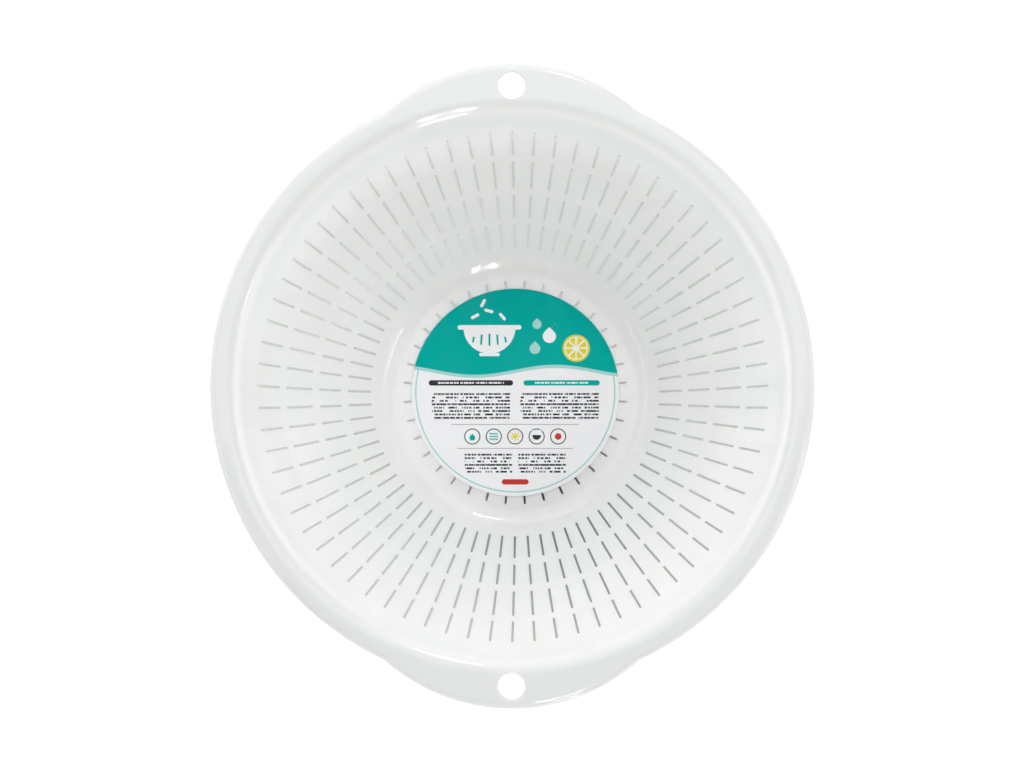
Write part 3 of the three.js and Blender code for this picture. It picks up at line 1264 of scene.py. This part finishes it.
@dataclass(frozen=True)
class Shade:
    """A soft shade on the table, in metres: its middle, and how far out it is full and has faded.

    A shade whose first distance is the larger one lies outside that distance, as a ring does.
    """

    x: float
    y: float
    core: float
    edge: float
    colour: Colour


@dataclass
class Studio:
    """The white table, the soft lamps round it, and the camera above the bowl. Lengths in metres."""

    ambient: float = 0.06
    table_size: float = 8.0
    table_drop: float = 0.05 * MM
    table_colour: Colour = (0.77, 0.78, 0.76, 1.0)
    shades: tuple[Shade, ...] = (
        Shade(-0.016, -0.026, 0.130, 0.095, (0.60, 0.625, 0.60, 1.0)),
        Shade(0.022, -0.066, 0.005, 0.090, (0.29, 0.34, 0.31, 1.0)),
    )
    # Painted light: the table under the bowl's floor glows for every ray, out to these radii and at this
    # strength
    painted_glow_reach: tuple[float, float] = (0.058, 0.062)
    painted_floor_glow: float = 0.24
    near_reach: tuple[float, float] = (0.120, 0.143)
    near_lift: float = 0.47
    far_reach: tuple[float, float] = (0.4, 1.6)
    far_lift: float = 0.70
    camera_place: tuple[float, float, float] = (0.018, -0.041, 1.105)
    camera_aim: tuple[float, float, float] = (0.0002, 0.0000, 0.105)
    lens: float = 79.7
    lamp_aim: tuple[float, float, float] = (0.0, 0.0, 0.06)
    # Each with its azimuth, elevation, distance, width, height and level
    lamps: tuple[Softbox, ...] = (
        Softbox("overhead", 95, 65, 2.0, 1.8, 1.8, 0.34),
        Softbox("far_high", 92, 42, 1.9, 1.5, 0.9, 0.12),
        Softbox("far_panel", 105, 22, 1.7, 2.4, 1.0, 0.34),
        Softbox("far_window", 80, 46, 1.3, 0.20, 0.10, 0.07),
        Softbox("right_panel", 5, 21, 1.7, 2.4, 1.0, 0.39),
        Softbox("right_window", -18, 42, 1.3, 0.32, 0.10, 0.06),
        Softbox("left_panel", 180, 21, 1.7, 2.4, 1.0, 0.43),
        Softbox("near_panel", 262, 21, 1.7, 2.0, 0.8, 0.14),
        Softbox("near_glint", 284, 9, 1.3, 0.22, 0.09, 0.12),
        Softbox("near_window_left", 279, 44, 1.3, 0.07, 0.50, 0.10),
        Softbox("near_window_right", 287, 44, 1.3, 0.07, 0.50, 0.10),
    )

    def build(self) -> None:
        """Sets up the whole studio."""
        self.set_camera()
        self.set_world()
        self.lay_table()
        for lamp in self.lamps:
            lamp.hang(Vector(self.lamp_aim))

    def set_camera(self) -> None:
        """Adds the camera above the bowl, with the far ear at the top of the picture."""
        place, aim = Vector(self.camera_place), Vector(self.camera_aim)
        back = (place - aim).normalized()
        right = Vector((0, 1, 0)).cross(back).normalized()
        up = back.cross(right)
        turn = Matrix((right, up, back)).transposed().to_euler()
        bpy.ops.object.camera_add(location=place, rotation=turn)
        camera = bpy.context.object
        camera.name = "camera"
        camera.data.lens = self.lens
        camera.data.sensor_width = 36.0
        camera.data.clip_start, camera.data.clip_end = 0.01, 50.0
        bpy.context.scene.camera = camera

    def set_world(self) -> None:
        """Makes the world white where it is seen, and a soft even light otherwise."""
        world = bpy.data.worlds.new("studio_air")
        world.use_nodes = True
        bpy.context.scene.world = world
        sheet = Sheet(world.node_tree)
        background = world.node_tree.nodes["Background"]
        path = sheet.node("ShaderNodeLightPath")
        seen = sheet.math("MAXIMUM", path.outputs["Is Camera Ray"], path.outputs["Is Transmission Ray"])
        seen = sheet.math("MAXIMUM", seen, path.outputs["Is Glossy Ray"])
        strength = sheet.math("ADD", sheet.math("MULTIPLY", seen, 1.0 - self.ambient), self.ambient)
        background.inputs["Color"].default_value = (1.0, 1.0, 1.0, 1.0)
        sheet.tree.links.new(strength, background.inputs["Strength"])

    def lay_table(self) -> None:
        """Adds the table, a hair under the bowl's foot."""
        deselect_all()
        bpy.ops.mesh.primitive_plane_add(size=self.table_size, location=(0, 0, -self.table_drop))
        table = bpy.context.object
        table.name = "table"
        bpy.ops.object.transform_apply(location=True, rotation=True, scale=True)
        give_material(table, self.make_table_finish())

    def make_table_finish(self) -> bpy.types.Material:
        """Makes the table's pale finish, white to the camera round the bowl and clear from below.

        Returns:
            The material.
        """
        material, sheet, shader = new_material("pale_table")
        path = sheet.node("ShaderNodeLightPath")
        seen = sheet.math("MAXIMUM", path.outputs["Is Camera Ray"], path.outputs["Is Glossy Ray"])
        place = sheet.node("ShaderNodeTexCoord").outputs["Object"]
        radius = sheet.vector("LENGTH", place)
        colour = self.table_colour
        for shade in self.shades:
            away = sheet.vector("DISTANCE", place, (shade.x, shade.y, 0.0))
            faded = sheet.remap(away, shade.core, shade.edge, 0.0, 1.0)
            colour = sheet.mix(faded, shade.colour, colour)
        around_bowl = sheet.remap(radius, *self.near_reach, 0.0, 1.0)
        colour = sheet.mix(around_bowl, colour, self.table_colour)
        # Painted glow under the bowl's floor, seen by every ray
        painted_glow_under_floor = sheet.remap(radius, *self.painted_glow_reach, self.painted_floor_glow, 0.0)
        near = sheet.math("MULTIPLY", around_bowl, self.near_lift)
        far = sheet.remap(radius, *self.far_reach, 0.0, self.far_lift)
        around = sheet.math("MULTIPLY", seen, sheet.math("ADD", near, far))
        # The painted glow under the floor, which lights the bowl though it is no lamp, fades out under
        # the last shade, the darkest
        backdrop_and_painted_glow = sheet.math("ADD", around, sheet.math("MULTIPLY", faded, painted_glow_under_floor))
        sheet.tree.links.new(colour, shader.inputs["Base Color"])
        sheet.tree.links.new(backdrop_and_painted_glow, shader.inputs["Emission Strength"])
        shader.inputs["Emission Color"].default_value = (1.0, 1.0, 1.0, 1.0)
        shader.inputs["Roughness"].default_value = 0.9
        shader.inputs["Specular IOR Level"].default_value = 0.1
        backfacing = sheet.node("ShaderNodeNewGeometry").outputs["Backfacing"]
        from_below = sheet.math("MULTIPLY", backfacing, path.outputs["Is Camera Ray"])
        clear = sheet.node("ShaderNodeBsdfTransparent").outputs["BSDF"]
        mixed = sheet.node("ShaderNodeMixShader", {0: from_below, 1: shader.outputs["BSDF"], 2: clear})
        output = sheet.tree.nodes["Material Output"]
        sheet.tree.links.new(mixed.outputs["Shader"], output.inputs["Surface"])
        return material


def main() -> None:
    """Builds the studio and the strainer, and dresses each piece."""
    logging.basicConfig(level=logging.INFO, format="%(name)s: %(message)s")
    bpy.context.scene.view_settings.view_transform = "Standard"
    Studio().build()
    log.info("studio ready")

    grain = surface_grain_group()
    for assembly in (BowlMoulding(), PaperLabel()):
        piece = assembly.build()
        assembly.dress(piece, grain)
        log.info("%s: %d faces", piece.name, len(piece.data.polygons))


if __name__ == "__main__":
    main()
